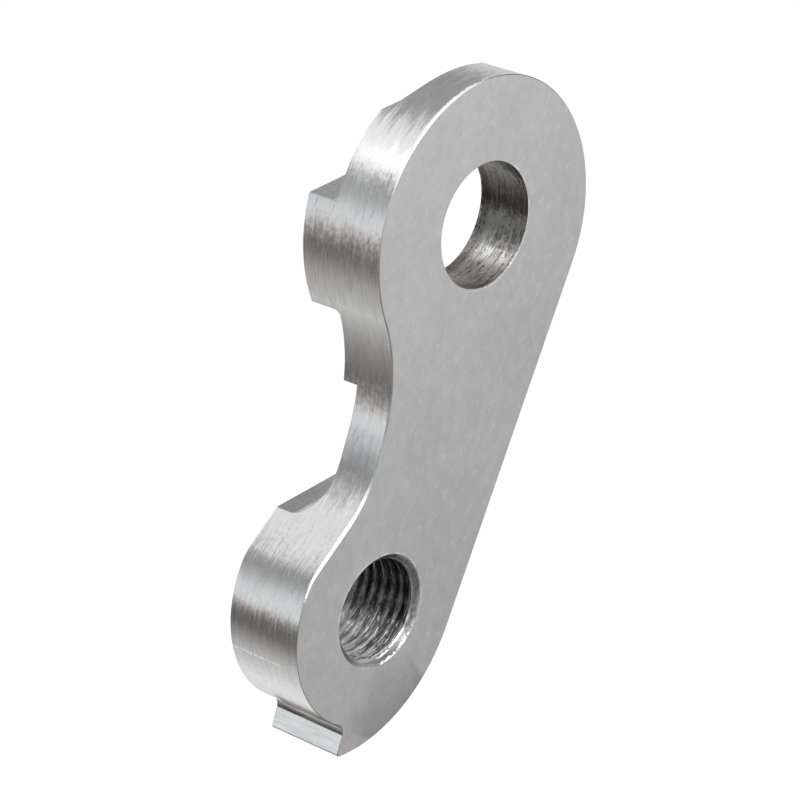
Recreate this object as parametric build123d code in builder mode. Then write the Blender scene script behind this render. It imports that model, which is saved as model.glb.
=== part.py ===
"""Replaceable rear derailleur hanger of a bicycle, machined from one aluminium plate.

X runs across the plate with the derailleur's stop on the -X side, Y runs from the outer
face into the bicycle, and Z runs up from the derailleur bolt to the wheel axle. The
origin is where the axis of the axle bore meets the outer face. Sizes are millimetres.

The steps of the inner side all run along the frame's dropout slot, which leans from X.
Across them, heights are measured from the axle's axis, square to the slot.
"""

import os
from math import asin, atan2, cos, degrees, hypot, radians, sin, sqrt, tan

from build123d import *

# Thicknesses, each measured from the outer face to one level of the inner side
rim_thickness = 3.5
seat_thickness = 5.35
neck_thickness = 3.85
boss_thickness = 7.6

# Bores
axle_bore_diameter = 10.9
axle_to_bolt = 33.4
thread_minor_diameter = 9.0
countersink_depth = 0.55
countersink_angle = 90

# Outline of the head round the axle bore
head_radius = 13.07
head_centre_x = 0.21
head_centre_z = -0.31

# Outline of the neck on the stop side, which is waisted
waist_x = -5.62
waist_straight = 2.4
lower_neck_radius = 9.6
flank_lean = 30.78

# Outline round the derailleur bolt
boss_radius = 10.1
shoulder_radius = 4.1
shoulder_angle = 170.7
heel_radius = 13.7
heel_centre_x = -4.03

# Stop that the derailleur's adjusting screw pushes against
stop_x = -0.53
stop_length = 2.8
stop_root_radius = 1.1
stop_toe_radius = 0.3

# Steps of the inner side, square to the slot
slot_angle = 26.7
seat_top = 11.1
relief_radius = 2.7
seat_bottom = -10.9
boss_top_above_bolt = 9.1
boss_fillet_radius = 2.3

# Lug that keys the hanger into the slot
lug_height = 3.1
lug_top = 5.1
lug_bottom = -4.55
lug_to_bore = 1.45
lug_corner_radius = 0.8
lug_root_radius = 0.5

# Edge breaks
outer_edge_break = 0.1
inner_edge_break = 0.05
lug_edge_break = 0.1
bore_edge_break = 0.1
axle_bore_inner_break = 0.25

bolt_z = -axle_to_bolt
bolt_face = Plane(origin=(0, 0, bolt_z), x_dir=(1, 0, 0), z_dir=(0, -1, 0))


def polar(centre, radius, angle):
    """The point at an angle in degrees on a circle of the outline."""
    return (centre[0] + radius * cos(radians(angle)), centre[1] + radius * sin(radians(angle)))


def direction(start, end):
    """The angle in degrees of the line from one point to another."""
    return degrees(atan2(end[1] - start[1], end[0] - start[0]))


def arc(centre, radius, start, end):
    """An arc of the outline from one angle to another, in degrees."""
    return CenterArc(centre, radius, start, end - start)


def along_slot(run, height):
    """The outline's point at a run along the slot and a height square to it."""
    lean = radians(slot_angle)
    return (run * cos(lean) - height * sin(lean), run * sin(lean) + height * cos(lean))


def on_side(edge):
    """Whether the middle of an edge lies on the side wall that the plate's outline makes."""
    middle = edge @ 0.5
    return plate.sketch.face().outer_wire().distance_to(Vector(middle.X, 0, middle.Z)) < 0.001


# Circles of the outline
head = (head_centre_x, head_centre_z)
boss = (0, bolt_z)
shoulder = polar(boss, boss_radius - shoulder_radius, shoulder_angle)

# The stop's flat runs down from the boss's circle, and the heel's circle passes through its end
stop_root = (stop_x, bolt_z - sqrt(boss_radius**2 - stop_x**2))
stop_toe = (stop_x, stop_root[1] - stop_length)
heel = (heel_centre_x, stop_toe[1] + sqrt(heel_radius**2 - (stop_x - heel_centre_x) ** 2))

# The flank touches the shoulder's circle and the lower neck arc, which touches the waist
flank_angle = 180 - flank_lean
lower_neck_x = waist_x - lower_neck_radius
flank_offset = lower_neck_radius + shoulder_radius - (lower_neck_x - shoulder[0]) * cos(radians(flank_angle))
lower_neck = (lower_neck_x, shoulder[1] + flank_offset / sin(radians(flank_angle)))

# The upper neck arc touches the waist's straight and the head's circle
upper_neck_z = lower_neck[1] + waist_straight
waist_depth = head[0] - waist_x
upper_neck_drop = head[1] - upper_neck_z
upper_neck_radius = (waist_depth**2 + upper_neck_drop**2 - head_radius**2) / (2 * (head_radius - waist_depth))
upper_neck = (waist_x - upper_neck_radius, upper_neck_z)
neck_angle = direction(head, upper_neck) + 360

# The straight side touches the head's circle and the heel's circle
side_length = hypot(head[0] - heel[0], head[1] - heel[1])
side_angle = direction(heel, head) - 90 + degrees(asin((heel_radius - head_radius) / side_length))

# Plane square to the slot: its first axis is the thickness, its second the height
across_slot = Plane(
    origin=(0, 0, 0),
    x_dir=(0, 1, 0),
    z_dir=(cos(radians(slot_angle)), 0, sin(radians(slot_angle))),
)
reach = axle_to_bolt + 2 * head_radius + heel_radius
relief_rise = seat_thickness - rim_thickness
relief_run = sqrt(relief_radius**2 - (relief_radius - relief_rise) ** 2)
boss_top = bolt_z * cos(radians(slot_angle)) + boss_top_above_bolt
lug_reach = axle_bore_diameter / 2 + lug_to_bore
countersink_radius = thread_minor_diameter / 2 + countersink_depth * tan(radians(countersink_angle / 2))

with BuildPart() as hanger:
    # The plate's outline, seen from outside
    with BuildSketch(Plane.XZ) as plate:
        with BuildLine():
            arc(head, head_radius, side_angle, neck_angle)
            arc(upper_neck, upper_neck_radius, neck_angle - 180, 0)
            Line((waist_x, upper_neck_z), (waist_x, lower_neck[1]))
            arc(lower_neck, lower_neck_radius, 0, flank_angle - 180)
            Line(
                polar(lower_neck, lower_neck_radius, flank_angle - 180),
                polar(shoulder, shoulder_radius, flank_angle),
            )
            arc(shoulder, shoulder_radius, flank_angle, shoulder_angle)
            arc(boss, boss_radius, shoulder_angle, direction(boss, stop_root) + 360)
            Line(stop_root, stop_toe)
            arc(heel, heel_radius, direction(heel, stop_toe), side_angle)
            Line(polar(heel, heel_radius, side_angle), polar(head, head_radius, side_angle))
        make_face()
        fillet(plate.vertices().sort_by_distance(stop_root)[0], stop_root_radius)
        fillet(plate.vertices().sort_by_distance(stop_toe)[0], stop_toe_radius)
    extrude(amount=-reach)

    # The levels of the inner side, carried right across the plate along the slot
    with BuildSketch(across_slot) as levels:
        with BuildLine():
            Polyline(
                (seat_thickness, seat_top),
                (seat_thickness, seat_bottom),
                (neck_thickness, seat_bottom),
                (neck_thickness, boss_top),
                (boss_thickness, boss_top),
                (boss_thickness, -reach),
                (0, -reach),
                (0, reach),
                (rim_thickness, reach),
                (rim_thickness, seat_top + relief_run),
            )
            RadiusArc((rim_thickness, seat_top + relief_run), (seat_thickness, seat_top), -relief_radius)
        make_face()
        fillet(levels.vertices().sort_by_distance((neck_thickness, boss_top))[0], boss_fillet_radius)
    extrude(amount=reach, both=True, mode=Mode.INTERSECT)

    # The lug, whose outer end is flush with the plate's side
    with BuildSketch(Plane.XZ) as lug:
        add(plate.sketch_local)
        inner_corners = [along_slot(-lug_reach, lug_bottom), along_slot(-lug_reach, lug_top)]
        Polygon(
            *inner_corners,
            along_slot(-reach, lug_top),
            along_slot(-reach, lug_bottom),
            align=None,
            mode=Mode.INTERSECT,
        )
        fillet([lug.vertices().sort_by_distance(corner)[0] for corner in inner_corners], lug_corner_radius)
    extrude(amount=-seat_thickness - lug_height)
    fillet(hanger.edges(Select.NEW), lug_root_radius)

    # Broken edges: the outer face all round, the lug's end, then the inner side
    chamfer(hanger.faces().sort_by(Axis.Y)[0].outer_wire().edges(), outer_edge_break)
    chamfer(hanger.faces().sort_by(Axis.Y)[-1].outer_wire().edges(), lug_edge_break)
    inner_edges = hanger.edges().filter_by(Axis.Y, reverse=True).filter_by(on_side)
    chamfer(inner_edges.filter_by_position(Axis.Y, rim_thickness, boss_thickness), inner_edge_break)

    with Locations(Plane.XZ):
        Hole(axle_bore_diameter / 2)
    outer_rim, *_, inner_rim = hanger.edges(Select.LAST).filter_by(GeomType.CIRCLE).sort_by(Axis.Y)
    chamfer(inner_rim, axle_bore_inner_break)
    chamfer(outer_rim, bore_edge_break)
    with Locations(bolt_face):
        CounterSinkHole(thread_minor_diameter / 2, countersink_radius, counter_sink_angle=countersink_angle)
    chamfer(hanger.edges(Select.LAST).filter_by(GeomType.CIRCLE).sort_by(Axis.Y)[-1], bore_edge_break)

hanger.part.label = "hanger"
os.makedirs("parts", exist_ok=True)
export_step(hanger.part, "parts/hanger.step")
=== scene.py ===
# %% [markdown]
# # A bicycle's derailleur hanger in bare aluminium
# The real part is one small plate, sawn or milled from a bar and then drilled, threaded and
# brushed. The CAD solid already has its form. This script gives it the cut thread, the finishes
# of its faces and a small photo studio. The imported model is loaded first, because everything
# else is measured from it.

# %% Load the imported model
from math import cos, pi, radians, sin, tan

import bpy
import numpy as np
from mathutils import Matrix, Vector


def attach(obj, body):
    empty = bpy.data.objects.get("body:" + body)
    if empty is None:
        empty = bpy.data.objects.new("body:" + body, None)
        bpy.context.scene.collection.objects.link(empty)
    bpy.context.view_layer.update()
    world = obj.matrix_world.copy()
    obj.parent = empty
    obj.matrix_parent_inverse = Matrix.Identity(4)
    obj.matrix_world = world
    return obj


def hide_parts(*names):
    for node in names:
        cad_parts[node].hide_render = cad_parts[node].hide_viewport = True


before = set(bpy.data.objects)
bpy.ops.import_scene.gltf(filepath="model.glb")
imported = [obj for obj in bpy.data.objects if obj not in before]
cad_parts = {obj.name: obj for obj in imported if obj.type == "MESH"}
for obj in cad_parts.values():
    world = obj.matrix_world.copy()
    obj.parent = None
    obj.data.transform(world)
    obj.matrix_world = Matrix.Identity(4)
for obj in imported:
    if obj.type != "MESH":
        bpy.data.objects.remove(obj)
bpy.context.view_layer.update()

MM = 0.001

# %% [markdown]
# ## Camera
# A camera can be placed by eye, or by solving for the place from which known sizes of the part
# line up with the photograph. The second way was used. It gives a short telephoto view from the
# stop's side, a little above the part and rolled, so it is kept as three plain facts: where the
# camera is, what it looks at and how far it is rolled.

# %% Place the camera
camera_place = Vector((-236.948, -180.406, 19.250)) * MM
camera_target = Vector((-1.7355, 2.4725, -15.8267)) * MM
camera_roll = radians(-15.169)
camera_lens = 162.926
nearest_seen = 10


def camera_turn(place, target, roll):
    """The turn that looks from place to target, with up leaning from +Z by the roll."""
    ahead = (target - place).normalized()
    level = ahead.cross(Vector((0, 0, 1))).normalized()
    up = level.cross(ahead) * cos(roll) + level * sin(roll)
    across = ahead.cross(up)
    return Matrix((across, up, -ahead)).transposed().to_4x4()


lens = bpy.data.cameras.new("studio_camera")
lens.lens = camera_lens
lens.clip_start = nearest_seen * MM
camera = bpy.data.objects.new("studio_camera", lens)
turn = camera_turn(camera_place, camera_target, camera_roll)
camera.matrix_world = Matrix.Translation(camera_place) @ turn
bpy.context.collection.objects.link(camera)
bpy.context.scene.camera = camera
print("Camera to axle:", round(camera_place.length / MM), "mm")

# %% [markdown]
# ## The body, merged
# The CAD mesh comes as loose triangles, which is right for a fixed frame but not for cutting a
# thread. A copy is read as arrays, the corners that share a place are merged, and the copy is
# made a mesh again. The CAD node itself stays as it is.

# %% Merge a copy of the CAD mesh


def new_mesh(name, points, faces):
    """A mesh from an array of points in millimetres and an array of faces."""
    mesh = bpy.data.meshes.new(name)
    mesh.from_pydata((points * MM).tolist(), [], faces.tolist())
    mesh.validate()
    return mesh


def merged(mesh):
    """Points and triangles of a triangle mesh, with corners closer than 0.1 micrometre made one."""
    points = np.empty(len(mesh.vertices) * 3)
    mesh.vertices.foreach_get("co", points)
    corners = np.empty(len(mesh.loops), dtype=int)
    mesh.loops.foreach_get("vertex_index", corners)
    points = points.reshape(-1, 3) / MM
    _, kept, place = np.unique(np.round(points, 4), axis=0, return_index=True, return_inverse=True)
    return points[kept], place.ravel()[corners].reshape(-1, 3)


body_points, body_triangles = merged(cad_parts["hanger"].data)
print("Body:", len(body_points), "points,", len(body_triangles), "triangles")

# %% [markdown]
# ## The hand-broken edge
# A file or a belt breaks the edge of the outer face by hand, so it isn't equally wide all round.
# Here it is widest at the head's upper left and along the flank, and thin elsewhere. The CAD
# model has one even break, so its two rims are moved apart or together. That needs no new
# points, only the width that is wanted at each place, which a few marks round the outline give.

# %% Vary the outer edge's break
bolt_z = -33.4
hole_reach = 7.0
tolerance = 0.001
even_break = 0.1
# Each mark is x, z and the break's width there
break_marks = [
    (-12.8, 0.0, 0.05), (-12.3, 3.5, 0.07), (-11.0, 6.7, 0.14), (-8.7, 9.4, 0.18),
    (-7.0, 10.6, 0.12), (-5.0, 11.8, 0.05), (-1.0, 12.8, 0.06), (3.0, 12.5, 0.08),
    (7.0, 10.8, 0.08), (10.5, 7.8, 0.07), (13.3, 0.0, 0.05), (12.0, -15.0, 0.05),
    (10.0, -30.0, 0.05), (6.0, -42.0, 0.05), (-0.5, -45.0, 0.04), (-5.0, -42.0, 0.05),
    (-9.0, -38.0, 0.05), (-9.9, -32.5, 0.08), (-9.0, -29.8, 0.16), (-7.5, -27.0, 0.19),
    (-6.0, -23.5, 0.16), (-5.7, -18.0, 0.1), (-7.0, -12.5, 0.09), (-11.0, -7.0, 0.08),
]


def wanted_break(places):
    """The break's width at places in x and z: the mean of the marks' widths, weighed by the
    inverse fourth power of their distances."""
    marks = np.array(break_marks)
    spans = np.linalg.norm(places[:, None] - marks[None, :, :2], axis=2)
    weights = spans**-4.0
    return weights @ marks[:, 2] / weights.sum(axis=1)


def vary_break(points):
    """Moves the two rims of the outer edge's break. The rim on the face goes further in by the
    change of width, away from its nearest neighbour on the other rim, and the rim on the wall
    goes as much deeper."""
    x, y, z = points.T
    outside = (np.hypot(x, z) > hole_reach) & (np.hypot(x, z - bolt_z) > hole_reach)
    on_face = np.flatnonzero(outside & (np.abs(y) < tolerance))
    on_wall = np.flatnonzero(outside & (np.abs(y - even_break) < tolerance))
    face_rim, wall_rim = points[on_face][:, [0, 2]], points[on_wall][:, [0, 2]]
    change = wanted_break(wall_rim) - even_break
    gaps = np.linalg.norm(face_rim[:, None] - wall_rim[None], axis=2)
    partner = gaps.argmin(axis=1)
    inward = (face_rim - wall_rim[partner]) / gaps.min(axis=1, keepdims=True)
    moved = points.copy()
    moved[on_wall, 1] += change
    moved[on_face[:, None], [0, 2]] += inward * change[partner][:, None]
    widths = [round(even_break + float(most), 3) for most in (change.min(), change.max())]
    print("Break widths in mm:", widths)
    return moved


body_points = vary_break(body_points)

# %% [markdown]
# ## The axle bore's rim
# The axle bore's outer rim is nearly sharp. Its break is even all round, so one smaller width
# serves, again by moving the two rims that the CAD model has.

# %% Narrow the axle bore's break
axle_bore_radius = 5.45
bore_break = 0.04


def narrow_bore_break(points):
    """Brings the bore's two rims closer: the one on the face is drawn in to a circle that is the
    new break wider than the bore, and the one on the wall comes up to the new break's depth."""
    x, y, z = points.T
    near_bore = np.hypot(x, z) < hole_reach
    on_face = np.flatnonzero(near_bore & (np.abs(y) < tolerance))
    on_wall = np.flatnonzero(near_bore & (np.abs(y - even_break) < tolerance))
    moved = points.copy()
    moved[on_face[:, None], [0, 2]] *= (axle_bore_radius + bore_break) / (axle_bore_radius + even_break)
    moved[on_wall, 1] = bore_break
    print("Rim points moved:", len(on_face), "on the face,", len(on_wall), "on the wall")
    return moved


body_points = narrow_bore_break(body_points)

# %% [markdown]
# ## The thread's profile
# The lower hole has a fine 1 mm thread that a tap has cut. A thread could be painted with bump,
# but its crests catch the light as real edges, so it is cut. Its profile is a 60 degree V with
# flat crests, and it repeats once each pitch, so it is one function of a phase from 0 to 1.

# %% Give the thread its profile
thread_pitch = 1.0
crest_radius = 4.52
root_radius = 4.98
crest_flat = 0.16
flank_slope = tan(radians(30))


def thread_radius(phase):
    """Radius for a phase along one pitch, counted from a crest's middle: half the crest's flat,
    a flank at 30 degrees, the root, then the same back."""
    flank = (root_radius - crest_radius) * flank_slope / thread_pitch
    from_crest = 0.5 - np.abs((phase % 1.0) - 0.5)
    rise = np.clip((from_crest - crest_flat / 2) / flank, 0, 1)
    return crest_radius + (root_radius - crest_radius) * rise


quarters = thread_radius(np.array([0.0, 0.25, 0.5, 0.75]))
print("Thread's radius at each quarter of a pitch in mm:", quarters.round(3).tolist())

# %% [markdown]
# ## The tap
# The cutter is the tap's own shape: a tube round the bolt's axis whose radius follows the
# profile along a helix. It is a right-hand thread, so the crest goes deeper while the angle
# falls. In the countersink the tap is thinner than the hole, which leaves the cone whole. Its
# volume is printed because it would be negative if the faces pointed inwards.

# %% Shape the tap
thread_shift = 0.783
thread_start, thread_end = -1.0, 8.6
run_in_start, run_in_end, thinned_radius = 0.5, 0.78, 4.4
steps_round, steps_per_turn = 120, 16


def tube_faces(rows, columns):
    """Triangles of a closed tube. Its points go round it row by row, then come the middles of
    its first and its last end. Each cell between four points is halved, and a fan closes each
    end."""
    row, column = np.meshgrid(np.arange(rows - 1), np.arange(columns), indexing="ij")
    here, along = row * columns + column, row * columns + (column + 1) % columns
    below, ahead = here + columns, along + columns
    quads = np.stack([here, below, ahead, along], axis=-1).reshape(-1, 4)
    halves = np.concatenate([quads[:, [0, 1, 2]], quads[:, [0, 2, 3]]])
    rim = np.arange(columns)
    after = (rim + 1) % columns
    last, middle = (rows - 1) * columns, rows * columns
    first_fan = np.stack([rim, after, np.full_like(rim, middle)], axis=-1)
    last_fan = np.stack([last + after, last + rim, np.full_like(rim, middle + 1)], axis=-1)
    return np.concatenate([halves, first_fan, last_fan])


def thread_tap():
    """A closed tube round the bolt's axis: at an angle and a depth, its radius is the thread's
    profile at depth / pitch + angle / full turn, drawn in before the run-in's end."""
    rows = int((thread_end - thread_start) / thread_pitch * steps_per_turn) + 1
    turns = np.arange(steps_round) * 2 * pi / steps_round
    angle, depth = np.meshgrid(turns, np.linspace(thread_start, thread_end, rows))
    radius = thread_radius(depth / thread_pitch + angle / (2 * pi) - thread_shift)
    run_in = np.clip((depth - run_in_start) / (run_in_end - run_in_start), 0, 1)
    radius = thinned_radius + (radius - thinned_radius) * run_in
    wall = np.stack([radius * np.cos(angle), depth, bolt_z + radius * np.sin(angle)], axis=-1)
    ends = np.array([[0, thread_start, bolt_z], [0, thread_end, bolt_z]])
    return np.concatenate([wall.reshape(-1, 3), ends]), tube_faces(rows, steps_round)


def volume(points, triangles):
    """The space inside a closed surface: the sum of its triangles' pyramids to the origin."""
    a, b, c = (points[triangles[:, side]] for side in range(3))
    return float(np.einsum("ij,ij->", a, np.cross(b, c)) / 6)


tap_points, tap_triangles = thread_tap()
print("Tap volume in mm3:", round(volume(tap_points, tap_triangles), 1))

# %% [markdown]
# ## Cutting the thread
# A Boolean takes the tap's shape out of the body. It could stay on the body as a modifier, but
# each face gets its own finish further on, so its result is made a plain mesh at once and both
# tools are thrown away. Flat faces and round ones meet in edges, so edges of more than 30
# degrees are kept sharp. The finished mesh then takes the place of the CAD node.

# %% Cut the thread
sharpest_smooth = 30


def cut(body, tool):
    """The body's mesh less the tool's, made by an exact Boolean that is applied at once."""
    solid, cutter = (bpy.data.objects.new(mesh.name, mesh) for mesh in (body, tool))
    for item in (solid, cutter):
        bpy.context.collection.objects.link(item)
    step = solid.modifiers.new("thread", "BOOLEAN")
    step.operation, step.solver, step.object = "DIFFERENCE", "EXACT", cutter
    evaluated = solid.evaluated_get(bpy.context.evaluated_depsgraph_get())
    result = bpy.data.meshes.new_from_object(evaluated)
    bpy.data.objects.remove(solid)
    bpy.data.objects.remove(cutter)
    return result


blank = new_mesh("blank", body_points, body_triangles)
hanger_mesh = cut(blank, new_mesh("tap", tap_points, tap_triangles))
hanger_mesh.name = "hanger_finished"
hanger_mesh.shade_smooth()
hanger_mesh.set_sharp_from_angle(angle=radians(sharpest_smooth))
hanger = bpy.data.objects.new("hanger_finished", hanger_mesh)
bpy.context.collection.objects.link(hanger)
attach(hanger, "root")
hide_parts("hanger")
print("Finished mesh:", len(hanger_mesh.vertices), "points,", len(hanger_mesh.polygons), "faces")

# %% [markdown]
# ## Shader maths as Python
# A finish is a small formula on the place of a point, and a tree of Math nodes hides that
# formula. Here a node's output is wrapped so that adding or multiplying outputs adds the nodes.

# %% Wrap a node's output


class Signal:
    """One output of a node, on which Python's operators add Math nodes."""

    def __init__(self, graph, socket):
        self.graph, self.socket = graph, socket

    def maths(self, operation, *others):
        """A Math node that takes this output first and the others after it."""
        return self.graph.node("Math", {"operation": operation}, dict(enumerate((self, *others))))

    def __add__(self, other):
        return self.maths("ADD", other)

    def __sub__(self, other):
        return self.maths("SUBTRACT", other)

    def __rsub__(self, other):
        return self.graph.node("Math", {"operation": "SUBTRACT"}, {0: other, 1: self})

    def __mul__(self, other):
        return self.maths("MULTIPLY", other)

    __radd__, __rmul__ = __add__, __mul__


# %% [markdown]
# ## The tree as one object
# All other nodes come from one method, which sets a node up before it fills its sockets. What
# many finishes need is named once on top of it: a mix of two colours, a ramp, noise with its own
# fineness along each axis, and a value that rises between two limits.

# %% Wrap the node tree


def grey(value, red=0.0, blue=0.0):
    """An opaque grey, made a little redder or bluer."""
    return (value * (1 + red), value, value * (1 + blue), 1.0)


class Graph:
    """The node tree of a material or of the world."""

    def __init__(self, tree):
        self.tree = tree
        tree.nodes.clear()

    def node(self, kind, settings=None, sockets=None, output=0):
        """Adds a node of a kind, makes its settings, then gives its sockets values or links."""
        made = self.tree.nodes.new("ShaderNode" + kind)
        for name, value in (settings or {}).items():
            if name == "stops":
                for place, colour in value[2:]:
                    made.color_ramp.elements.new(place)
                for element, (place, colour) in zip(made.color_ramp.elements, sorted(value)):
                    element.position, element.color = place, colour
            else:
                setattr(made, name, value)
        for name, value in (sockets or {}).items():
            if isinstance(value, Signal):
                self.tree.links.new(value.socket, made.inputs[name])
            else:
                made.inputs[name].default_value = value
        return Signal(self, made.outputs[output]) if made.outputs else None

    def vector(self, operation, *values, output=0):
        """A Vector Math node, for colours and directions."""
        return self.node("VectorMath", {"operation": operation}, dict(enumerate(values)), output)

    def blend(self, amount, first, second):
        """The first colour where the amount is 0, the second where it is 1."""
        return self.node("Mix", {"data_type": "RGBA"}, {0: amount, 6: first, 7: second}, 2)

    def axes(self, place):
        """The three coordinates of a place, in millimetres."""
        parts = self.node("SeparateXYZ", None, {0: place}).socket.node.outputs
        return [Signal(self, part) * (1 / MM) for part in parts]

    def between(self, value, low, high):
        """A value moved so that low becomes 0 and high becomes 1, and cut off there."""
        return self.node("MapRange", {"clamp": True}, {0: value, 1: low, 2: high, 3: 0.0, 4: 1.0})

    def within(self, value, low, high, soft):
        """1 where a value lies between two limits, falling to 0 over a soft border outside them."""
        return self.between(value, low - soft, low) * self.between(value, high + soft, high)

    def greys(self, value, levels, red=0.0, blue=0.0):
        """A grey for each value, between levels that are pairs of a value and a brightness."""
        low, high = levels[0][0], levels[-1][0]
        stops = [((at - low) / (high - low), grey(level, red, blue)) for at, level in levels]
        return self.node("ValToRGB", {"stops": stops}, {0: self.between(value, low, high)}, "Color")

    def shade(self, colour, factor):
        """A colour made darker or lighter, or a vector made shorter or longer, by a factor."""
        return self.node("VectorMath", {"operation": "SCALE"}, {0: colour, 3: factor})

    def noise(self, place, per_mm, shift=0.0, detail=2.0, gain=0.5):
        """Noise from 0 to 1 about 0.5, with its own number of waves per millimetre along each
        axis. The raw noise keeps near its middle, so it is spread to reach both ends."""
        spread = tuple(waves / MM for waves in per_mm)
        moved = self.vector("MULTIPLY_ADD", place, spread, (shift, shift * 1.7, shift * 2.3))
        sockets = {"Vector": moved, "Scale": 1.0, "Detail": detail, "Roughness": gain}
        return self.between(self.node("TexNoise", {"noise_dimensions": "3D"}, sockets), 0.25, 0.75)


# %% [markdown]
# ## Finishes of bare aluminium
# All faces are the same metal, and differ in how a tool has left them. A scratch tilts the metal
# a little, so each finish turns the surface's normal by noise that is slow along the tool's way
# and quick across it. Such noise needs only the point's place. The helpers below are shared by
# all finishes: how one starts and ends, how its normal turns, and how a place lies round a hole.

# %% Share the helpers of the finishes


def aluminium(name):
    """A new bare metal material: its graph, the point's place and the surface's normal."""
    material = bpy.data.materials.new(name)
    material.use_nodes = True
    graph = Graph(material.node_tree)
    place = graph.node("TexCoord", output="Object")
    normal = graph.node("NewGeometry", output="Normal")
    return material, graph, place, normal


def finish_metal(material, graph, colour, roughness, normal):
    """Ends a material as bare metal with the given colour, roughness and normal."""
    look = {"Base Color": colour, "Roughness": roughness, "Metallic": 1.0, "Normal": normal}
    shader = graph.node("BsdfPrincipled", None, look, "BSDF")
    graph.node("OutputMaterial", None, {"Surface": shader})
    print(material.name, "has", len(graph.tree.nodes), "nodes")
    return material


def tilted(graph, normal, tilt, lean):
    """The normal turned along the wall's outline by a tilt, and towards +Y by a lean. Both are
    slopes, so 1 would be 45 degrees."""
    across = (0.0, 1.0, 0.0)
    along = graph.vector("CROSS_PRODUCT", across, normal)
    turned = graph.vector("ADD", graph.shade(along, tilt), normal)
    return graph.vector("NORMALIZE", graph.vector("ADD", graph.shade(across, lean), turned))


def around_hole(graph, place, centre_z):
    """Distance from a hole's axis, angle round it in degrees from +X towards +Z, and depth."""
    x, y, z = graph.axes(place)
    z = z - centre_z
    return (x * x + z * z).maths("SQRT"), z.maths("ARCTAN2", x) * (180 / pi), y


# %% [markdown]
# ## The walls' true direction
# The CAD mesh is made of flat facets, which a mirror-like wall shows at once: each reflected
# band is bent at every facet. A finer mesh would be one cure. Here the outline's own formula
# gives the direction instead. On the stop's side the outline is a chain of circles and straights
# that touch one another, and a few sizes, the same as those of the CAD model, fix all of them.

# %% Work out the walls' true direction
head_centre, head_radius = (0.21, -0.31), 13.07
waist_x, waist_straight = -5.62, 2.4
lower_neck_radius, flank_lean = 9.6, 30.78
boss_radius, shoulder_radius, shoulder_angle = 10.1, 4.1, 170.7
far = 10000.0


def on_circle(centre, radius, angle):
    """The point at an angle in degrees on a circle."""
    return centre[0] + radius * cos(radians(angle)), centre[1] + radius * sin(radians(angle))


def chain_of_circles():
    """The circles below the head: the height where each begins, its centre, and -1 for a hollow.
    Two that touch have centres as far apart as the sum of their radii, or their difference where
    one lies inside the other. A straight is a circle whose centre is very far away."""
    boss = (0.0, bolt_z)
    shoulder = on_circle(boss, boss_radius - shoulder_radius, shoulder_angle)
    flank_angle = 180 - flank_lean
    lower_neck_x = waist_x - lower_neck_radius
    side_step = (lower_neck_x - shoulder[0]) * cos(radians(flank_angle))
    rise = (lower_neck_radius + shoulder_radius - side_step) / sin(radians(flank_angle))
    lower_neck = (lower_neck_x, shoulder[1] + rise)
    waist_top = lower_neck[1] + waist_straight
    depth, drop = head_centre[0] - waist_x, head_centre[1] - waist_top
    upper_neck_radius = (depth**2 + drop**2 - head_radius**2) / (2 * (head_radius - depth))
    neck_top = head_centre[1] - head_radius * drop / (head_radius + upper_neck_radius)
    flank_top = on_circle(lower_neck, lower_neck_radius, -flank_lean)
    return [
        (neck_top, (waist_x - upper_neck_radius, waist_top), -1),
        (waist_top, (waist_x + far, waist_top), 1),
        (lower_neck[1], lower_neck, -1),
        (flank_top[1], on_circle(flank_top, -far, flank_angle), 1),
        (on_circle(shoulder, shoulder_radius, flank_angle)[1], shoulder, 1),
        (on_circle(boss, boss_radius, shoulder_angle)[1], boss, 1),
    ]


def true_wall_normal(graph, place, z, normal):
    """The direction from the circle's centre to the place, or back for a hollow, for the circle
    that the place's height falls in. Where the face looks another way, it keeps its own."""
    level = graph.vector("MULTIPLY", place, (1.0, 0.0, 1.0))
    true = graph.vector("SUBTRACT", level, (head_centre[0] * MM, 0.0, head_centre[1] * MM))
    for top, centre, side in wall_circles:
        away = graph.vector("SUBTRACT", level, (centre[0] * MM, 0.0, centre[1] * MM))
        true = graph.blend(graph.between(z, top + 0.01, top - 0.01), true, graph.shade(away, side))
    true = graph.vector("NORMALIZE", true)
    same = graph.vector("DOT_PRODUCT", true, normal, output=1)
    return graph.blend(graph.between(same, 0.95, 0.97), normal, true)


wall_circles = chain_of_circles()
print("Circles begin at heights in mm:", [round(top, 3) for top, centre, side in wall_circles])

# %% [markdown]
# ## The walls' textures
# The side walls were drawn along a belt, so their scratches follow the outline, and a reflected
# band gets a hairy border. A few scratches cross the others, where the part was turned in the
# hand. An image of scratches would be one way. Noise that is stretched along the outline needs
# no image, and all its parts are gathered here, because tilt and colour both use them.

# %% Make the walls' textures


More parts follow.
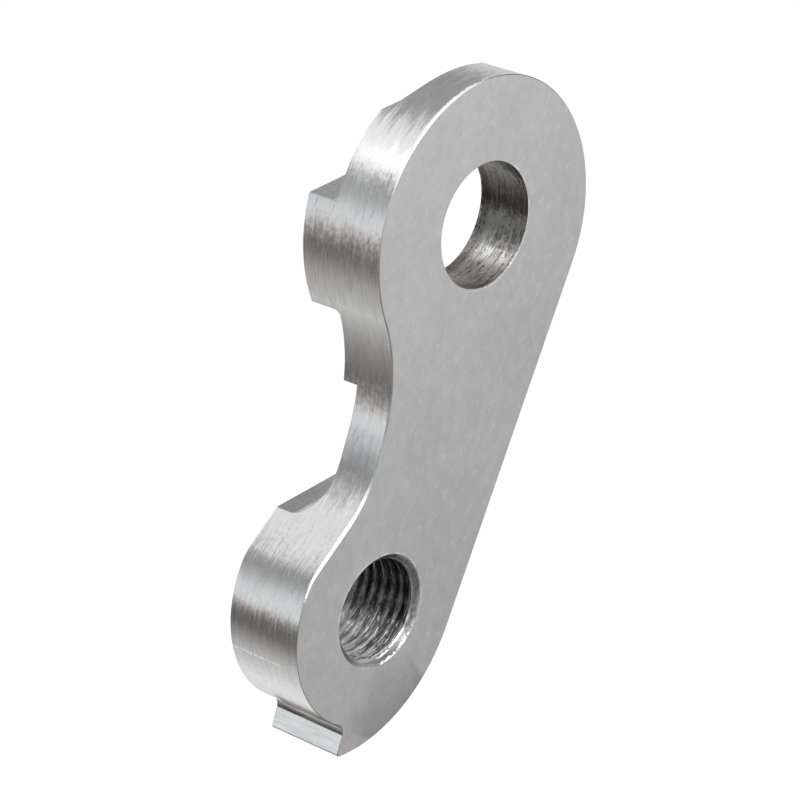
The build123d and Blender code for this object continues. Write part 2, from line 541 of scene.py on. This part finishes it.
def wall_textures(graph, place, x, z):
    """Noises for the walls, each with its waves per millimetre along x, y and z. The fine, hair
    and broad ones have few along the outline and many across it, the milled one the other way
    round, and the rest are about even. The crossing scratches lean, because y grows with x + z."""
    slanted = graph.vector("ADD", place, graph.node("CombineXYZ", None, {1: (x + z) * (0.25 * MM)}))
    crossing = graph.noise(slanted, (0.5, 7.0, 0.5), 12.7, 1.0)
    return {
        "fine": graph.noise(place, (0.3, 4.5, 0.3), 3.1, 3.0, 0.6),
        "hair": graph.noise(place, (0.5, 12.0, 0.5), 5.2, 2.0),
        "broad": graph.noise(place, (0.3, 1.6, 0.3), 8.4, 3.0, 0.6),
        "milled": graph.noise(place, (4.0, 0.3, 4.0), 2.6, 2.0),
        "cloudy": graph.noise(place, (2.2, 3.0, 2.2), 1.3, 4.0, 0.7),
        "nick": graph.noise(place, (5.0, 4.0, 5.0), 6.9, 1.0),
        "gaps": graph.noise(place, (1.0, 0.8, 1.0), 4.4, 5.0, 0.85),
        "scratch": graph.between(crossing, 0.8, 0.92),
    }


# %% [markdown]
# ## The walls' marks
# Some places of the walls differ from the rest. The belt has torn small nicks right at the outer edge, a thin
# bright line crosses the boss, the boss's lower back rim is turned away a little, and painted shade darkens
# the corners at the lug and above the stop. The broken edge is tilted to a lighter piece at the shoulder, and
# painted shade darkens it at the head. Each could be painted by hand. Here each is a product of limits on the
# point's place.

# %% Find the walls' marks


def wall_marks(graph, x, y, z, facing, texture):
    """How strongly each mark shows at a place, from 0 to 1. Facing is the normal's y, which is
    0 on the wall, -1 on the outer face and between them on the broken edge."""
    handled = (
        graph.between(z, 4.0, 6.0)
        + graph.within(z, -30.0, -24.0, 1.0) * 0.6
        + graph.within(z, -33.4, -30.6, 0.5) * 0.4
    )
    torn = graph.between(texture["nick"], 0.5, 0.6) * graph.between(y, 0.27, 0.2)
    torn = torn * graph.between(facing, -0.3, -0.1) * handled
    line = graph.within(z + (texture["cloudy"] - 0.5) * 0.12, -39.03, -38.97, 0.1)
    line = line * (graph.between(texture["gaps"], 0.35, 0.6) * graph.between(y, 0.2, 4.0))
    under = graph.between(z, -42.1, -42.6) * graph.between(x, -1.5, -2.0) * graph.between(y, 4.8, 5.6)
    # Painted shade mask for the corner above the stop
    corner = graph.between(x + (texture["milled"] - 0.5) * 0.3, -4.65, -4.2)
    corner = corner * graph.between(x, 0.5, 0.0) * graph.between(z, -41.9, -42.3) * (1.0 - under)
    # Painted shade mask for the corner at the lug
    lug_corner = graph.within(z, -0.81, -0.73, 0.02)
    lug_corner = lug_corner * graph.between(y, 5.4, 5.6) * graph.between(x, -12.5, -12.7)
    on_break = graph.between(facing, -0.3, -0.5)
    shoulder = on_break * graph.within(z + (texture["cloudy"] - 0.5) * 1.5, -32.6, -30.6, 0.5)
    # Painted shade mask for the broken edge at the head's top
    top_edge = on_break * graph.between(x, -6.3, -4.3) * graph.between(z, 1.0, 5.0)
    return {
        "torn": torn, "line": line, "under": under, "corner": corner,
        "lug_corner": lug_corner, "shoulder": shoulder, "top_edge": top_edge,
    }


# %% [markdown]
# ## The walls' tilt
# The belt has left the walls a little wavy. The waves are far too shallow to be seen as form,
# but they move the reflected bands, so they only turn the normal too. A ramp over the height
# holds them, and a ramp holds only numbers from 0 to 1, so the tilt is packed round 0.5 first
# and unpacked after. The scratches are added to it, and they are deeper at the head and flank.

# %% Tilt the walls
# Each wave is a height and the wall's slope against the outline there
wall_waves = [
    (-40.3, 0.03), (-39.0, 0.0), (-38.3, 0.0), (-37.6, 0.03), (-36.8, 0.03), (-36.1, 0.0),
    (-35.3, 0.0), (-34.5, 0.03), (-33.3, 0.0), (-32.5, -0.02), (-31.7, -0.05), (-30.9, -0.08),
    (-30.2, -0.1), (-29.6, -0.06), (-29.0, -0.03), (-28.3, 0.0), (-26.0, 0.03), (-24.0, 0.08),
    (-21.2, 0.06), (-18.6, 0.0), (-17.2, -0.02), (-15.8, -0.03), (-13.5, 0.0), (-12.0, 0.05),
    (-9.0, 0.07), (-7.0, 0.0), (0.2, 0.0), (1.6, 0.02), (3.0, 0.01), (5.0, -0.01), (7.0, 0.02),
    (9.0, 0.02),
]
steepest_wave = 0.125


def wall_tilt(graph, x, z, texture, mark):
    """The slope along the outline: the waves on the stop's side, plus scratches times their
    depth at this height, plus patches, plus what the marks add."""
    packed = [(at, 0.5 + slope / (2 * steepest_wave)) for at, slope in wall_waves]
    waves = graph.greys(z, packed) * (2 * steepest_wave) - steepest_wave
    fine, broad, hair, cloudy = (texture[name] - 0.5 for name in ("fine", "broad", "hair", "cloudy"))
    drawn = fine * 0.08 + broad * 0.08 + hair * 0.05
    depth = 0.55 + graph.between(z, 3.0, 6.0) * 2.0 + graph.within(z, -31.0, -21.0, 2.0) * 0.5
    patchy = 0.08 + graph.within(z, -9.0, 2.0, 2.0) * 0.03
    tilt = waves * graph.between(x, 0.5, -0.5) + drawn * depth + cloudy * patchy
    tilt = tilt + texture["scratch"] * 0.05 - mark["line"] * 0.12
    return tilt + mark["shoulder"] * 0.35 + mark["torn"] * 0.4 + mark["under"] * 0.4


# %% [markdown]
# ## The walls' colour
# Bare metal's colour is how much it gives back, so wear is a lighter grey. The waist, the flank and a strip
# on the boss are painted darker than the rest, as painted shade. With the tilt and the true direction, that
# completes the walls.

# %% Colour and finish the walls


def wall_colour(graph, z, texture, mark):
    """Two greys mixed by wear, then the scratches and the bright line, all made darker by painted shade at
    the waist, the flank, the boss strip, the corners and the head's upper edge."""
    worn = texture["fine"] * 0.25 + texture["cloudy"] * 0.4 + texture["hair"] * 0.35
    colour = graph.blend(graph.between(worn, 0.3, 0.7), grey(0.62), grey(0.79))
    colour = graph.blend(texture["scratch"] * 0.3, colour, grey(0.5))
    colour = graph.blend(mark["line"] * 0.5, colour, grey(0.98))
    # Painted shade: darker bands at the waist, the flank and a strip on the boss
    waist = graph.within(z, -22.0, -20.8, 1.3)
    flank = graph.within(z, -31.6, -25.0, 1.0)
    boss_strip = graph.within(z, -36.6, -35.6, 0.6)
    darkening = flank * 0.12 + waist * 0.22 + boss_strip * 0.15
    # Painted shade darkens the corners above the stop and at the lug
    darkening = darkening + mark["corner"] * (0.8 - texture["milled"] * 0.75) + mark["lug_corner"] * 0.45
    # Painted shade darkens the broken edge at the head's top
    return graph.shade(colour, (1.0 - darkening) * (1.0 - mark["top_edge"] * 0.86))


def brushed_walls():
    """Bright metal whose tilt, colour and roughness all come from the same textures and marks."""
    material, graph, place, normal = aluminium("aluminium_brushed_walls")
    x, y, z = graph.axes(place)
    facing = graph.node("SeparateXYZ", None, {0: normal}, 1)
    texture = wall_textures(graph, place, x, z)
    mark = wall_marks(graph, x, y, z, facing, texture)
    tilt = wall_tilt(graph, x, z, texture, mark)
    lean = (texture["hair"] - 0.5) * 0.1 + (texture["cloudy"] - 0.5) * 0.08 - mark["torn"]
    true = tilted(graph, true_wall_normal(graph, place, z, normal), tilt, lean)
    roughness = 0.14 + texture["fine"] * 0.08 + texture["cloudy"] * 0.06
    roughness = roughness + graph.between(z, -6.0, 2.0) * 0.04
    return finish_metal(material, graph, wall_colour(graph, z, texture, mark), roughness, true)


wall_metal = brushed_walls()

# %% [markdown]
# ## Outer face
# The outer face is satin and blotchy, with light flecks and dark specks and only a faint upright
# grain. Blotches have no direction, so here a Bump node makes the normal from a height, which is
# simpler than tilting it. Thin bright arcs at the holes' rims are painted highlights, and the face is painted
# lighter towards the stop's side as painted light.

# %% Finish the outer face
# Each painted highlight is its hole's height, its outer radius and the angles between which it shows
rim_glints = [
    (0.0, 5.62, -70, 75), (bolt_z, 5.2, 85, 180), (bolt_z, 5.2, -180, -145), (bolt_z, 5.15, -30, 60)
]
bump_depth = 0.01


def satin_face():
    """Two greys mixed by grain, blotches and painted light that grows towards -X, then flecks, specks and the
    rims' painted highlights.
    """
    material, graph, place, normal = aluminium("aluminium_satin_face")
    grain = graph.noise(place, (6.0, 1.0, 0.9), 2.2, 3.0, 0.6)
    blotch = graph.noise(place, (1.0, 1.0, 0.7), 9.3, 4.0, 0.65)
    cloudy = graph.noise(place, (0.15, 0.1, 0.1), 4.1, 2.0)
    light = graph.between(graph.noise(place, (1.8, 1.0, 1.2), 6.6, 3.0), 0.68, 0.85)
    dark = graph.between(graph.noise(place, (2.4, 1.0, 2.0), 14.2, 2.0), 0.78, 0.95)
    # Painted light: the last term makes the face lighter towards -X, the stop's side
    tone = grain * 0.18 + blotch * 0.5 + cloudy * 0.32 - graph.axes(place)[0] * 0.02
    colour = graph.blend(graph.between(tone, 0.1, 0.9), grey(0.63), grey(0.78))
    colour = graph.blend(light * 0.25, colour, grey(0.95))
    colour = graph.blend(dark * 0.2, colour, grey(0.45))
    # Painted highlights: thin bright arcs on the holes' rims
    for centre_z, rim, start, stop in rim_glints:
        radius, angle, _ = around_hole(graph, place, centre_z)
        glint = graph.within(radius, rim - 0.1, rim + 0.02, 0.05) * graph.within(angle, start, stop, 15)
        colour = graph.blend(glint * graph.between(blotch, 0.35, 0.6), colour, grey(0.95))
    relief = {"Strength": 0.3, "Distance": bump_depth * MM, "Height": grain * 0.5 + blotch}
    bump = graph.node("Bump", None, {**relief, "Normal": normal}, "Normal")
    return finish_metal(material, graph, colour, 0.3 + blotch * 0.1, bump)


face_metal = satin_face()

# %% [markdown]
# ## Axle bore
# A drill leaves rings. The axle bore is painted dark above as painted shade and lighter below as painted
# light, with a painted highlight as a bright patch low down. The tones are given by the angle round the hole,
# and noise shifts the angle, so that no border is straight.

# %% Finish the axle bore
# Painted shade and painted light: each tone is an angle round the bore and a brightness, dark above and
# lighter below
bore_light_and_shade = [
    (-180, 0.36), (-60, 0.4), (-36, 0.44), (-18, 0.34), (-4, 0.25),
    (8, 0.14), (40, 0.11), (90, 0.15), (180, 0.3),
]


def bored_wall():
    """Painted shade and light by the angle, brighter in a painted highlight patch and where worn, times
    rings, tears and pits.
    """
    material, graph, place, normal = aluminium("aluminium_bored_wall")
    _, angle, depth = around_hole(graph, place, 0.0)
    rings = graph.noise(place, (0.45, 6.0, 0.45), 9.5, 4.0, 0.7)
    torn = graph.noise(place, (1.8, 2.6, 1.8), 2.9, 5.0, 0.8)
    patch = graph.noise(place, (0.7, 1.2, 0.7), 6.1, 3.0, 0.6)
    pits = graph.between(graph.noise(place, (2.2, 3.6, 2.2), 7.3, 3.0, 0.6), 0.72, 0.8)
    ragged = angle + (torn - 0.5) * 16 + (rings - 0.5) * 10
    colour = graph.greys(ragged, bore_light_and_shade, 0.02, -0.03)
    # Painted highlight: a bright patch low in the bore
    painted_highlight = graph.between(ragged, -48, -30) * graph.between(angle + (torn - 0.5) * 6, -20, -21.5)
    painted_highlight = painted_highlight * graph.within(depth + (rings - 0.5) * 1.6, 0.9, 3.7, 0.4)
    painted_highlight = painted_highlight * graph.between(rings * 0.7 + torn * 0.3, 0.34, 0.56)
    colour = graph.blend(painted_highlight, colour, grey(0.6))
    worn = graph.within(depth, 4.98, 5.2, 0.04) * graph.between(torn, 0.4, 0.6)
    colour = graph.blend(worn * 0.5, colour, grey(0.7))
    darkening = graph.between(depth + (torn - 0.5) * 0.8, 4.0, 4.3)
    flaked = graph.between(torn * 0.6 + rings * 0.4, 0.45, 0.52)
    mottle = 0.1 + torn * 0.5 + rings * 0.7 + patch * 0.2 + flaked * 0.4
    colour = graph.shade(colour, mottle * (1.0 - darkening * 0.35) * (1.0 - pits * 0.65))
    tilt = (rings - 0.5) * 0.12 + (torn - 0.5) * 0.2
    turned = tilted(graph, normal, tilt, (rings - 0.5) * 0.3)
    return finish_metal(material, graph, colour, 0.2 + rings * 0.14, turned)


bore_metal = bored_wall()

# %% [markdown]
# ## Thread
# The tap has torn the thread's grooves. Painted shade darkens the thread's upper side, most of all in its
# grooves, and painted highlights brighten crests on its lower side. The tool went round and in at once, so
# the streaks must follow the helix. For that the noise reads a place that is unrolled: how far round, how far
# along from the crest, and how far out.

# %% Finish the thread
# Painted shade and painted light: each tone is an angle round the bolt and a brightness, darkest on the upper
# side
groove_light_and_shade = [
    (-180, 0.3), (-120, 0.33), (-60, 0.5), (-30, 0.46), (-8, 0.18), (60, 0.04), (120, 0.1), (180, 0.3)
]
crest_light_and_shade = [
    (-180, 0.35), (-120, 0.38), (-60, 0.46), (-30, 0.38), (-8, 0.2), (60, 0.17), (120, 0.25), (180, 0.35)
]
round_step = 0.06


def cut_thread():
    """The crests' tone or the grooves', by the radius, both painted light and shade by the angle, times
    streaks, with painted highlights as glints.
    """
    material, graph, place, normal = aluminium("aluminium_cut_thread")
    radius, angle, depth = around_hole(graph, place, bolt_z)
    along = (depth + angle * (thread_pitch / 360)) * MM
    unrolled = {0: angle * (round_step * MM), 1: along, 2: radius * MM}
    streaks = graph.noise(graph.node("CombineXYZ", None, unrolled), (1.0, 11.0, 1.0), 9.5, 3.0, 0.65)
    torn = graph.noise(place, (3.2, 4.4, 3.2), 7.7, 4.0, 0.7)
    ragged = angle + (torn - 0.5) * 24
    crest, groove = graph.greys(ragged, crest_light_and_shade), graph.greys(ragged, groove_light_and_shade)
    inside = graph.between(radius + (torn - 0.5) * 0.06, crest_radius + 0.02, crest_radius + 0.1)
    colour = graph.blend(inside, crest, groove)
    rough = streaks * 0.6 + torn * 0.4
    dark = graph.between(rough, 0.42, 0.34)
    colour = graph.shade(colour, (0.3 + streaks * 0.7 + torn * 0.6) * (1.0 - dark * 0.6))
    # Painted highlights: bright glints on the lower side
    glint = graph.between(rough, 0.64, 0.72) * graph.within(angle, -180, -14, 16)
    colour = graph.blend(glint * 0.8, colour, grey(0.98))
    roughness = 0.22 + torn * 0.15 + graph.within(angle, -180, -40, 20) * 0.2
    turned = tilted(graph, normal, (torn - 0.5) * 0.3, (streaks - 0.5) * 0.6)
    return finish_metal(material, graph, colour, roughness, turned)


thread_metal = cut_thread()

# %% [markdown]
# ## Countersink
# The countersink came last and is clean, with fine rings from its tool. Its two bright rims are painted
# highlights, with painted shade on the cone between them. Like the bores, it takes painted light and shade
# from the angle round the hole.

# %% Finish the countersink
# Painted light and shade: each tone is an angle round the bolt and a brightness
countersink_light_and_shade = [
    (-180, 0.44), (-90, 0.34), (-55, 0.22), (-25, 0.38), (0, 0.5), (40, 0.55), (80, 0.7), (180, 0.55)
]


def countersunk_rim():
    """Painted light and shade by the angle, times rings and tears, with painted shade on the cone and one
    painted highlight arc.
    """
    material, graph, place, normal = aluminium("aluminium_countersunk_rim")
    radius, angle, _ = around_hole(graph, place, bolt_z)
    rings = graph.noise(place, (0.6, 7.0, 0.6), 4.6, 2.0)
    torn = graph.noise(place, (2.4, 2.4, 2.4), 1.9, 4.0, 0.7)
    colour = graph.greys(angle + (torn - 0.5) * 24, countersink_light_and_shade)
    # Painted shade: the cone between the two bright rims is made darker
    cone = graph.within(radius + (torn - 0.5) * 0.1, 4.66, 4.9, 0.04)
    colour = graph.shade(colour, (0.3 + torn * 0.7 + rings * 0.8) * (1.0 - cone * 0.35))
    # Painted highlight: one bright arc
    glint = graph.between(torn * 0.5 + rings * 0.5 - cone * 0.3, 0.44, 0.52)
    colour = graph.blend(glint * graph.within(angle, -64, -24, 6), colour, grey(0.98))
    turned = tilted(graph, normal, (torn - 0.5) * 0.3, (rings - 0.5) * 0.4)
    return finish_metal(material, graph, colour, 0.22 + torn * 0.2, turned)


rim_metal = countersunk_rim()

# %% [markdown]
# ## Inner side and stop
# The inner side lies against the frame, so the mill's passes were left on it. They run across the plate, as
# long stretched noise, and painted light makes its lower half lighter. The stop is painted the palest place,
# as painted light, with painted shade at its root. Its round toe is hardly seen as round on the real part, so
# it is given the flat's own direction, and both mirror the same panel.

# %% Finish the inner side and the stop


def milled_inside():
    """Two greys mixed by the mill's passes, with painted light on the lower half."""
    material, graph, place, normal = aluminium("aluminium_milled_inside")
    passes = graph.noise(place, (0.6, 0.6, 5.0), 5.9, 2.0)
    colour = graph.blend(graph.between(passes, 0.2, 0.8), grey(0.66), grey(0.76))
    # Painted light: the lower half is made lighter
    lower = graph.between(graph.axes(place)[2], -17.0, -24.0)
    colour = graph.shade(colour, 1.0 + lower * 0.3)
    turned = tilted(graph, normal, (passes - 0.5) * 0.06, 0.0)
    return finish_metal(material, graph, colour, 0.22 + passes * 0.14, turned)


def bare_stop():
    """Two pale greys of painted light mixed by mottles, and painted shade as a dark root where the flat meets
    the boss.
    """
    material, graph, place, _ = aluminium("aluminium_bare_stop")
    mottle = graph.noise(place, (3.0, 2.0, 3.0), 3.8, 4.0, 0.75)
    pulled = graph.noise(place, (1.0, 0.5, 7.0), 11.2, 2.0)
    pale = graph.between(mottle * 0.6 + pulled * 0.4, 0.3, 0.7)
    # Painted light: the stop's pale greys
    colour = graph.blend(pale, grey(0.74, -0.04), grey(0.98, -0.03))
    # Painted shade: a dark root where the flat meets the boss
    root = graph.between(graph.axes(place)[2] + (pulled - 0.5) * 0.4, -43.95, -43.6)
    colour = graph.blend(root, colour, grey(0.3))
    flat = graph.vector("NORMALIZE", (-1.0, 0.0, 0.0))
    turned = tilted(graph, flat, (mottle - 0.5) * 0.08, 0.0)
    return finish_metal(material, graph, colour, 0.24 + mottle * 0.14, turned)


inside_metal, stop_metal = milled_inside(), bare_stop()

# %% [markdown]
# ## Which finish goes where
# Faces could be picked by hand, but they can also be told apart by the way they look and where
# they lie. They are given out in the order in which a maker would work: first the inner side and
# the walls, then the outer face, then the holes and the stop.

# %% Give out the finishes
stop_x, stop_top, toe_top = -0.53, -43.0, -45.8
countersink_radius, countersink_depth = 5.05, 0.55
bore_margin, wall_depth = 0.24, 0.4


def give_finishes(mesh, finishes):
    """Sets each face's material from its normal and its middle, in millimetres."""
    for finish in finishes:
        mesh.materials.append(finish)
    count = len(mesh.polygons)
    normals, middles = np.empty(count * 3), np.empty(count * 3)
    mesh.polygons.foreach_get("normal", normals)
    mesh.polygons.foreach_get("center", middles)
    facing_x, facing_y, _ = normals.reshape(-1, 3).T
    x, y, z = (middles.reshape(-1, 3) / MM).T
    from_axle, from_bolt = np.hypot(x, z), np.hypot(x, z - bolt_z)
    upright = np.abs(facing_y) < 0.2
    cone = (from_bolt > thinned_radius + 0.05) & (from_bolt < countersink_radius + 0.1)
    cone = cone & (y > tolerance) & (y < countersink_depth + 0.01) & (facing_y < -0.5)
    flat = (facing_x < -0.99) & (np.abs(x - stop_x) < 0.02) & (z < stop_top)
    inside, walls, face, bore, thread, rim, stop = range(len(finishes))
    chosen = np.full(count, inside)
    chosen[upright | (y < wall_depth)] = walls
    chosen[facing_y < -0.999] = face
    chosen[(from_axle < axle_bore_radius + bore_margin) & (np.abs(facing_y) < 0.99)] = bore
    chosen[(from_bolt < root_radius + 0.1) & (y > tolerance)] = thread
    chosen[cone] = rim
    chosen[flat | ((facing_x < -0.93) & upright & (z < toe_top))] = stop
    mesh.polygons.foreach_set("material_index", chosen)
    print("Faces per finish:", np.bincount(chosen, minlength=len(finishes)).tolist())


metals = [inside_metal, wall_metal, face_metal, bore_metal, thread_metal, rim_metal, stop_metal]
give_finishes(hanger_mesh, metals)

# %% [markdown]
# ## Studio
# Bare metal shows its surroundings, so the surroundings are part of the look. The photograph
# was made in a white tent with dark gaps. Real panels could be built round the part, but the
# world can do it alone: everything but a reflection sees plain white, and a reflection sees the
# tent's paler and darker panels, by direction only. The walls mirror the ring of panels behind
# the part, and the outer face mirrors the front ones.

# %% Hang the tent
brightest = 1.6
# Each panel is its angle in degrees from +X towards +Z, and its brightness
tent_panels = [
    (0, 0.42), (13.7, 0.9), (33.7, 0.60), (54, 0.39), (104, 0.41), (109.7, 0.56), (116, 0.85),
    (121, 1.08), (129, 1.24), (137, 1.1), (144, 0.8), (150, 0.62), (162, 0.47), (175, 0.44),
    (183, 0.47), (188, 0.80), (195, 0.97), (200, 1.0), (207, 0.74), (211, 0.45), (215.5, 0.27),
    (223.5, 0.15), (229, 0.17), (236, 0.28), (244, 0.40), (256, 0.57), (278, 0.88), (288, 1.0),
    (310, 0.92), (316, 0.68), (325, 0.14), (346, 0.12),
]
# Each front panel is its height, from 0 straight down to 1 straight up, and its brightness
front_panels = [(0, 0.2), (0.38, 0.4), (0.5, 0.72), (0.58, 0.78), (0.67, 1.2), (1, 1.3)]


def panel_colour(angle, level):
    """The grey of a panel: bluish where it is a cool one, brownish where the dark gap is."""
    cool, warm = 185 < angle < 206, 206 < angle < 246
    return grey(level / brightest, -0.05 * cool + 0.06 * warm, 0.01 * cool - 0.04 * warm)


def hang_tent():
    """A world that is white to all rays but reflections. Their colour is the ring's, by the
    angle of the ray's x and z, or the front's, by its z, and the ray's y mixes the two."""
    world = bpy.data.worlds.new("studio_tent")
    world.use_nodes = True
    # A world that is even to all but reflections needs no rays aimed at its bright spots
    world.cycles.sampling_method = "NONE"
    bpy.context.scene.world = world
    graph = Graph(world.node_tree)
    toward = graph.node("TexCoord", output="Generated")
    x, y, z = [graph.node("SeparateXYZ", None, {0: toward}, axis) for axis in range(3)]
    full_turn = (z.maths("ARCTAN2", x) * (1 / (2 * pi))).maths("FRACT")
    stops = [(angle / 360, panel_colour(angle, level)) for angle, level in tent_panels]
    ring = graph.node("ValToRGB", {"stops": stops}, {0: full_turn}, "Color")
    front_stops = [(height, grey(level / brightest)) for height, level in front_panels]
    front = graph.node("ValToRGB", {"stops": front_stops}, {0: z * 0.5 + 0.5}, "Color")
    panels = graph.shade(graph.blend(graph.between(y, -0.1, 0.3), front, ring), brightest)
    rays = [graph.node("LightPath", output=f"Is {ray} Ray") for ray in ("Camera", "Diffuse", "Transmission")]
    plain = (rays[0] + rays[1] + rays[2]).maths("MINIMUM", 1.0)
    colour = graph.blend(plain, panels, grey(1.0))
    background = graph.node("Background", None, {"Color": colour, "Strength": 1.0})
    graph.node("OutputWorld", None, {"Surface": background})
    print("Tent:", len(tent_panels), "panels in the ring,", len(front_panels), "in front")


hang_tent()

# %% [markdown]
# ## Lamps
# Bare metal needs only few lamps, because most of its light is what it mirrors. The strip stands
# close to the head on the stop's side, where it gives the head its white patch. The soft box,
# above the camera and to its right, gives the broken edges their white lines. Both are aimed,
# and their strength is worked out from how bright their surface should look.

# %% Set the lamps


def lamp(name, place, target, size, glow):
    """A soft panel lamp in millimetres, whose front glows at a given level, where 1 is white."""
    light = bpy.data.lights.new(name, "AREA")
    light.shape = "RECTANGLE"
    light.size, light.size_y = size[0] * MM, size[1] * MM
    light.energy = glow * pi * light.size * light.size_y
    panel = bpy.data.objects.new(name, light)
    ahead = (Vector(target) - Vector(place)).normalized()
    side = ahead.cross(Vector((0, 1, 0))).normalized()
    aimed = Matrix((side, side.cross(ahead), -ahead)).transposed().to_4x4()
    panel.matrix_world = Matrix.Translation(Vector(place) * MM) @ aimed
    panel.visible_camera = False
    bpy.context.collection.objects.link(panel)
    print(name, "glows at", glow)


lamp("strip_lamp", (-34.2, 20, 16.4), (-12.3, 20, 4.3), (10, 16), 1.05)
lamp("soft_box", (-180, -333, 252), (0, 0, -15), (250, 250), 2.0)

# %% [markdown]
# ## Floor
# The floor is a large pale sheet under the part. It is lit plainly and adds a little white of
# its own towards the camera only, so it ends as white as the backdrop and still takes the part's
# soft shadow.

# %% Lay the floor
floor_level, floor_reach = -100, 4000


def lay_floor(level, reach):
    """One square sheet at a height, which reaches as far on each side, white and matt."""
    corners = [[-reach, -reach, level], [reach, -reach, level], [reach, reach, level], [-reach, reach, level]]
    sheet = bpy.data.objects.new("floor", new_mesh("floor", np.array(corners), np.array([[0, 1, 2, 3]])))
    bpy.context.collection.objects.link(sheet)
    material = bpy.data.materials.new("floor_white")
    material.use_nodes = True
    graph = Graph(material.node_tree)
    paint = graph.node("BsdfDiffuse", None, {"Color": grey(0.9)})
    camera_ray = graph.node("LightPath", output="Is Camera Ray")
    lift = graph.node("Emission", None, {"Color": grey(1.0), "Strength": camera_ray * 0.12})
    graph.node("OutputMaterial", None, {"Surface": graph.node("AddShader", None, {0: paint, 1: lift})})
    sheet.data.materials.append(material)
    sheet.visible_glossy = False
    print("Floor at", level, "mm")


lay_floor(floor_level, floor_reach)

# %% [markdown]
# Standard view keeps a colour as it is written.

# %% Finish
bpy.context.scene.view_settings.view_transform = "Standard"
